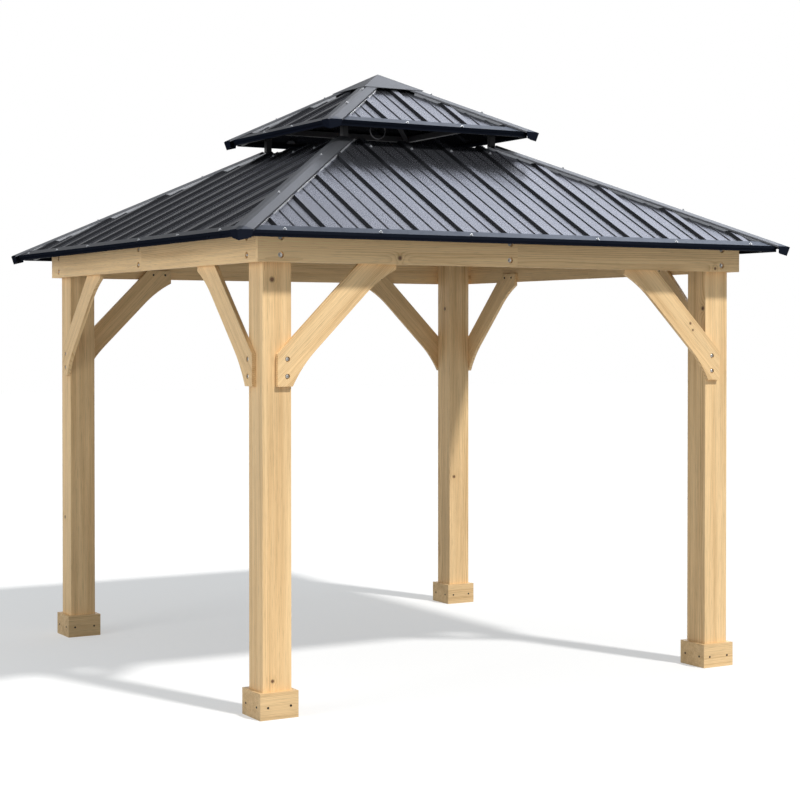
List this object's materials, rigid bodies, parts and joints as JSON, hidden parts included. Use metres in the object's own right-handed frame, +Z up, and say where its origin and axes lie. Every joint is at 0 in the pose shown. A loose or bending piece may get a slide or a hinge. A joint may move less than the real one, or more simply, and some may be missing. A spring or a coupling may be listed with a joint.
{
  "type": "garden gazebo",
  "caption": "Open square garden gazebo: timber posts, beams and curved corner braces carry a tiered, ribbed metal hip roof with a vent gap and a pyramid cap.",
  "frame": {"origin": "centre of the plan, on the ground under the posts", "axes": "+Z up, -Y towards the front, +X to the right seen from the front"},
  "size_m": [3.03, 3.03, 3.0471],
  "materials": {
    "post_timber": "clear satin over softwood grain",
    "base_timber": "clear satin over softwood grain",
    "beam_timber": "clear satin over softwood grain",
    "brace_timber": "clear satin over softwood grain",
    "roof_sheet": "fine textured charcoal paint",
    "roof_trim": "fine textured charcoal paint",
    "eave_trim": "satin blue-black paint",
    "frame_metal": "satin black paint",
    "ring_steel": "plain steel"
  },
  "bodies": {
    "root": {"post_front_left": "post_timber", "post_base_front_left": "base_timber", "post_front_right": "post_timber", "post_base_front_right": "base_timber", "post_back_left": "post_timber", "post_base_back_left": "base_timber", "post_back_right": "post_timber", "post_base_back_right": "base_timber", "beam_front_a": "beam_timber", "beam_front_b": "beam_timber", "braces_front": "brace_timber", "lower_panel_front": "roof_sheet", "upper_panel_front": "roof_sheet", "beam_right_a": "beam_timber", "beam_right_b": "beam_timber", "braces_right": "brace_timber", "lower_panel_right": "roof_sheet", "upper_panel_right": "roof_sheet", "beam_back_a": "beam_timber", "beam_back_b": "beam_timber", "braces_back": "brace_timber", "lower_panel_back": "roof_sheet", "upper_panel_back": "roof_sheet", "beam_left_a": "beam_timber", "beam_left_b": "beam_timber", "braces_left": "brace_timber", "lower_panel_left": "roof_sheet", "upper_panel_left": "roof_sheet", "beam_packers": "beam_timber", "lower_hip_caps": "roof_trim", "upper_hip_caps": "roof_trim", "peak_cap": "roof_trim", "lower_fascias": "eave_trim", "upper_fascias": "eave_trim", "lower_end_caps": "eave_trim", "upper_end_caps": "eave_trim", "hip_rafters": "frame_metal", "middle_rafters": "frame_metal", "purlins": "frame_metal", "vent_ring": "frame_metal", "vent_posts": "frame_metal", "upper_rafters": "frame_metal", "upper_ring": "frame_metal", "peak_hub": "frame_metal", "hanging_ring": "ring_steel"}
  },
  "joints": []
}
